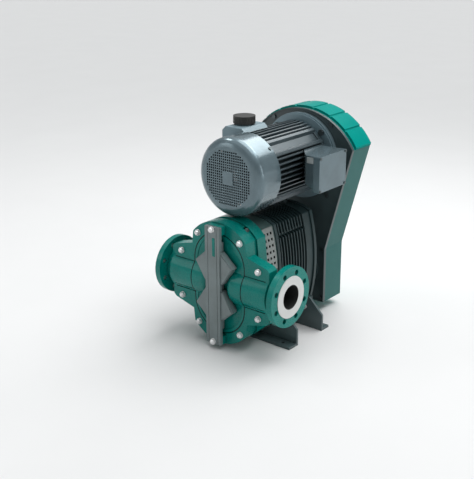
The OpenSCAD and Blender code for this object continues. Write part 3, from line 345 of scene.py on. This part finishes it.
def guard_side_painted_shade(material):
    """Painted shade and painted reflection: a greyer tone on the sideways-facing sheets of the belt guard,
    below its rounded top.
    """
    tree = material.node_tree
    height = split(tree, object_place(tree))[2]
    facing = split(tree, add(tree, "ShaderNodeNewGeometry").outputs["True Normal"])[0]
    sideways = step(tree, math_node(tree, "ABSOLUTE", facing), 0.55, 0.7)
    below = step(tree, height, GUARD_CORNER_Z + GUARD_CORNER_BLUR, GUARD_CORNER_Z - GUARD_CORNER_BLUR)
    cloud = noise(tree, object_place(tree), SIDE_CLOUD_SCALE)
    # Colour of the painted shade and painted reflection, varied a little
    side_shade = mix_colour(tree, cloud, rgba(shade(GUARD_SIDE_SHADE, 0.88)), rgba(shade(GUARD_SIDE_SHADE, 1.12)))
    return overpaint(material, math_node(tree, "MULTIPLY", sideways, below), side_shade)


def port_faces(material):
    """Adds turned, bare sealing faces and painted shade in the bores to the pump housing's paint."""
    tree = material.node_tree
    place = object_place(tree)
    centre = (0.0, HEAD_Y, FLOW_Z)
    centred = add(tree, "ShaderNodeVectorMath", {0: place, 1: centre}, operation="SUBTRACT").outputs[0]
    parts = split(tree, centred)
    radius = length(tree, parts[1], parts[2])
    face_x = PORT_HIGH.x - RAISED_T
    on_face = step(tree, math_node(tree, "ABSOLUTE", parts[0]), face_x + 0.1 * MM, face_x + 0.3 * MM)
    bore_shade_mask = step(tree, radius, BORE_R + 0.4 * MM, BORE_R + 0.1 * MM)
    rings = math_node(tree, "SINE", math_node(tree, "MULTIPLY", radius, 2 * math.pi / RING_PITCH))
    painted = node_of(material, "BSDF_PRINCIPLED")
    output = node_of(material, "OUTPUT_MATERIAL")
    bare = add(tree, "ShaderNodeBsdfPrincipled", {
        "Base Color": rgba(BARE_FACE), "Metallic": 0.35, "Roughness": 0.42,
        "Normal": bumped(tree, rings, 0.3, 0.05 * MM)})
    # Painted shade: the inside of each bore is painted near black
    dark = add(tree, "ShaderNodeBsdfPrincipled", {
        "Base Color": rgba(BORE_PAINTED_SHADE), "Roughness": 0.7,
        "Normal": bumped(tree, noise(tree, place, BORE_GRAIN_SCALE), 0.2, 0.5 * MM)})
    faced = add(tree, "ShaderNodeMixShader", {0: on_face, 1: painted.outputs[0], 2: bare.outputs[0]})
    bored = add(tree, "ShaderNodeMixShader", {0: bore_shade_mask, 1: faced.outputs[0], 2: dark.outputs[0]})
    fill(tree, output, {"Surface": bored.outputs[0]})
    return material


# Finishes

def green_paint(name):
    """Glossy green paint, with the dark joint line where a piece has it."""
    return dark_seam(paint(name, GREEN, rough=0.28, coat=0.25, coat_rough=0.08, gloss=0.15))


finishes = {
    "green_paint": green_paint("green paint"),
    "housing_paint": port_faces(green_paint("housing paint")),
    # The belt guard's sideways faces get painted shade and painted reflection
    "guard_paint": guard_side_painted_shade(paint("guard paint", GREEN_GUARD, rough=0.25, grain=0.04, wear=0.15, coat=0.0,
                                     gloss=0.03, cloudy=0.03)),
    "motor_paint": paint("motor paint", MOTOR_BLUE, rough=0.24, grain=0.03, peel=0.03, gloss=0.5, coat=0.4,
                         coat_rough=0.08, flake=0.55),
    # The motor's own blue, darkened as painted shade between the fins
    "fin_paint": paint("fin paint with painted shade", shade(MOTOR_BLUE, 0.45), rough=0.34, grain=0.02, peel=0.02, gloss=0.5,
                       coat=0.2, flake=0.3, hollow_painted_shade=0.9),
    # The motor's own blue, lightened as painted light on the drive end shield
    "shield_paint": paint("shield paint with painted light", shade(MOTOR_BLUE, 1.6), rough=0.35, grain=0.05, coat=0.2, flake=0.3,
                          crease_painted_shade=0.5, hollow_painted_shade=0.1),
    # The motor's own blue, lightened as painted light on the tank
    "tank_paint": paint("tank paint with painted light", shade(MOTOR_BLUE, 1.5), rough=0.45, grain=0.03, gloss=0.4, flake=0.1),
    "clamp_paint": paint("clamp paint", CLAMP_GREY, rough=0.4, grain=0.2, gloss=0.5, crease_painted_shade=0.4),
    "dark_paint": paint("dark paint", HOUSING_DARK, rough=0.45, grain=0.16, gloss=0.2),
    "plate_paint": paint("plate paint", PLATE_DARK, rough=0.35, grain=0.05, gloss=0.5),
    "foot_paint": paint("foot paint", FOOT_GREY, rough=0.4, grain=0.06, gloss=0.5),
    "lantern_paint": paint("lantern paint", LANTERN_GREY, rough=0.5, grain=0.18),
    "guard_sheet": metal("perforated sheet", SHEET_GREY, rough=0.45),
    "label_steel": metal("label plate", LABEL_GREY, rough=0.5),
    "zinc_steel": metal("zinc steel", BRIGHT_STEEL, shine=0.6),
    "dark_steel": metal("dark steel", DARK_STEEL, rough=0.4),
    "shaft_steel": metal("shaft steel", WORN_STEEL, rough=0.25, brushed=0.1),
    "wear_steel": metal("wear steel", WORN_STEEL, rough=0.35, brushed=0.2),
    "machined_iron": metal("machined iron", IRON, rough=0.45),
    "cap_plastic": moulded("cap plastic", CAP_BLACK),
    "fan_plastic": moulded("fan plastic", FAN_BLACK),
    "seal_rubber": moulded("seal rubber", SEAL_BLACK, rough=0.7),
    "belt_rubber": moulded("belt rubber", BELT_BLACK, rough=0.75),
    "rotor_rubber": moulded("rotor rubber", ROTOR_BLACK, rough=0.6),
}

# Pieces whose finish isn't the one named like their material slot
own_finish = {
    "pump_housing": "housing_paint",
    "belt_guard": "guard_paint",
    "guard_plate": "plate_paint",
    "motor_frame": "fin_paint",
    "drive_end_shield": "shield_paint",
    "fluid_tank": "tank_paint",
    "lid_screws": "dark_steel",
    "cowl_screws": "dark_steel",
    "guard_screws": "dark_steel",
    "motor_bolts": "dark_steel",
    "front_foot": "foot_paint",
    "rear_foot": "foot_paint",
}
slot_of = {row["node"]: row["material_slot"] for row in frame["record"]["subparts"]}
for name, node in frame["nodes"].items():
    node.data.materials.clear()
    node.data.materials.append(finishes[own_finish.get(name, slot_of[name])])


# Added plates

def linked(name, data):
    """A new object with the data, linked into the scene."""
    thing = bpy.data.objects.new(name, data)
    bpy.context.scene.collection.objects.link(thing)
    return thing


def rounded_outline(width, height, radius):
    """Points of a rectangle with rounded corners, round its middle."""
    points = []
    for quarter, (side, end) in enumerate(((1, 1), (-1, 1), (-1, -1), (1, -1))):
        for i in range(CORNER_STEPS + 1):
            angle = math.radians(90 * (quarter + i / CORNER_STEPS))
            points.append((side * (width / 2 - radius) + radius * math.cos(angle),
                           end * (height / 2 - radius) + radius * math.sin(angle)))
    return points


def small_plate(name, middle, size, radius, finish):
    """A thin upright plate with rounded corners and softened edges, on the front of a piece of the base."""
    mesh = bpy.data.meshes.new(name)
    shape = bmesh.new()
    rim = [shape.verts.new(Vector(middle) + Vector((u, 0, v))) for u, v in rounded_outline(*size, radius)]
    face = shape.faces.new(rim)
    lifted = [item for item in bmesh.ops.extrude_face_region(shape, geom=[face])["geom"]
              if isinstance(item, bmesh.types.BMVert)]
    bmesh.ops.translate(shape, verts=lifted, vec=(0, -PLATE_T, 0))
    bmesh.ops.recalc_face_normals(shape, faces=shape.faces)
    front = [edge for edge in shape.edges if all(vert.co.y < middle[1] - PLATE_T / 2 for vert in edge.verts)]
    bmesh.ops.bevel(shape, geom=front, offset=0.25 * PLATE_T, segments=2, affect="EDGES")
    shape.to_mesh(mesh)
    shape.free()
    piece = linked(name, mesh)
    mesh.materials.append(finish)
    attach(piece, "base")


small_plate("terminal_box_plate", (BOX_HIGH.x - 16 * MM, BOX_LOW.y, BOX_HIGH.z - 15 * MM),
            (26 * MM, 20 * MM), 2 * MM, finishes["label_steel"])
small_plate("clamp_bar_plate", (6 * MM, BAR_LOW.y, FLOW_Z + 136 * MM),
            (11 * MM, 62 * MM), 1 * MM, finishes["green_paint"])


# Floor and backdrop

FLOOR_R = 40.0
FLOOR_DARK = (0.7, 0.7, 0.7)
FLOOR_LIGHT = (0.73, 0.73, 0.73)
HORIZON = (0.88, 0.88, 0.88)
WALL = (0.4, 0.42, 0.43)
OVERHEAD = (0.85, 0.87, 0.88)
SOFT_LIGHT = (0.93, 0.98, 1.0)
SOFT_STRENGTH = 0.3


def pale_floor():
    """A wide pale disc."""
    mesh = bpy.data.meshes.new("floor")
    shape = bmesh.new()
    bmesh.ops.create_circle(shape, cap_ends=True, radius=FLOOR_R, segments=96)
    shape.to_mesh(mesh)
    shape.free()
    floor = linked("floor", mesh)
    material, tree, shader = new_material("floor")
    cloud = noise(tree, object_place(tree), 3.0)
    fill(tree, shader, {
        "Base Color": mix_colour(tree, cloud, rgba(FLOOR_DARK), rgba(FLOOR_LIGHT)),
        "Roughness": 0.7,
        "Specular IOR Level": 0.1,
    })
    floor.data.materials.append(material)


def pale_world():
    """A backdrop that is pale at the horizon, greyer above it and bright overhead, and an even soft light."""
    world = bpy.data.worlds.new("studio")
    bpy.context.scene.world = world
    world.use_nodes = True
    tree = world.node_tree
    tree.nodes.clear()
    path = add(tree, "ShaderNodeLightPath")
    direct = math_node(tree, "MAXIMUM", path.outputs["Is Camera Ray"], path.outputs["Is Transmission Ray"])
    direct = math_node(tree, "MAXIMUM", direct, path.outputs["Is Glossy Ray"])
    height = split(tree, add(tree, "ShaderNodeTexCoord").outputs["Generated"])[2]
    tone = mix_colour(tree, step(tree, height, 0.0, 0.12), rgba(HORIZON), rgba(WALL))
    tone = mix_colour(tree, step(tree, height, 0.55, 0.7), tone, rgba(OVERHEAD))
    soft = add(tree, "ShaderNodeBackground", {"Color": rgba(SOFT_LIGHT), "Strength": SOFT_STRENGTH})
    seen = add(tree, "ShaderNodeBackground", {"Color": tone, "Strength": 1.0})
    mixed = add(tree, "ShaderNodeMixShader", {0: direct, 1: soft.outputs[0], 2: seen.outputs[0]})
    add(tree, "ShaderNodeOutputWorld", {"Surface": mixed.outputs[0]})


# Camera at the photograph's place, found by fitting both port flanges

CAMERA_PLACE = Vector((1730.5, HEAD_Y / MM - 2051.35, 1310.8)) * MM
CAMERA_AZIMUTH = math.radians(39.65)
CAMERA_ELEVATION = math.radians(19.57)
CAMERA_ROLL = math.radians(-0.37)
PHOTO_HEIGHT = 479
FOCAL_PIXELS = 877.38
SENSOR = 36.0
FAR_END = 60.0


def photo_camera():
    """The camera at its place, turned by its azimuth, elevation and roll."""
    ahead = Vector((-math.sin(CAMERA_AZIMUTH) * math.cos(CAMERA_ELEVATION),
                    math.cos(CAMERA_AZIMUTH) * math.cos(CAMERA_ELEVATION), -math.sin(CAMERA_ELEVATION)))
    right = Vector((math.cos(CAMERA_AZIMUTH), math.sin(CAMERA_AZIMUTH), 0.0))
    up = right.cross(ahead)
    across = math.cos(CAMERA_ROLL) * right + math.sin(CAMERA_ROLL) * up
    above = -math.sin(CAMERA_ROLL) * right + math.cos(CAMERA_ROLL) * up
    lens = bpy.data.cameras.new("camera")
    lens.sensor_fit = "VERTICAL"
    lens.sensor_height = SENSOR
    lens.lens = FOCAL_PIXELS * SENSOR / PHOTO_HEIGHT
    lens.clip_end = FAR_END
    camera = linked("camera", lens)
    turn = Matrix((across, above, -ahead)).transposed().to_4x4()
    camera.matrix_world = Matrix.Translation(CAMERA_PLACE) @ turn
    bpy.context.scene.camera = camera


# Light

def lamp(name, kind, energy, direction):
    """A lamp that shines in a direction, and its light."""
    light = bpy.data.lights.new(name, kind)
    light.energy = energy
    thing = linked(name, light)
    thing.rotation_euler = Vector(direction).to_track_quat("-Z", "Y").to_euler()
    return thing, light


def sun_light(name, direction, strength, angle):
    """An even light over the whole floor, with soft shadows."""
    light = lamp(name, "SUN", strength, direction)[1]
    light.angle = math.radians(angle)


def area_light(name, place, target, size, power):
    """A rectangular light at a place, turned to a target."""
    thing, light = lamp(name, "AREA", power, Vector(target) - Vector(place))
    thing.location = place
    light.shape = "RECTANGLE"
    light.size, light.size_y = size


pale_floor()
pale_world()
photo_camera()
sun_light("sun", direction=(-0.15, -0.25, -1.0), strength=2.35, angle=60.0)
area_light("top", place=(0.1, 1.5, 2.3), target=(0.0, 0.0, 0.5), size=(2.0, 1.0), power=26.0)
area_light("front_left", place=(-1.9, -2.2, 1.5), target=(0.0, 0.0, 0.4), size=(0.9, 1.3), power=6.0)
area_light("glint", place=(-1.5, -0.5, 2.4), target=(0.0, -0.2, 0.3), size=(0.4, 0.4), power=6.0)
area_light("right", place=(2.6, 0.0, 1.2), target=(0.0, 0.1, 0.4), size=(0.9, 1.4), power=8.0)
bpy.context.scene.view_settings.view_transform = "Standard"
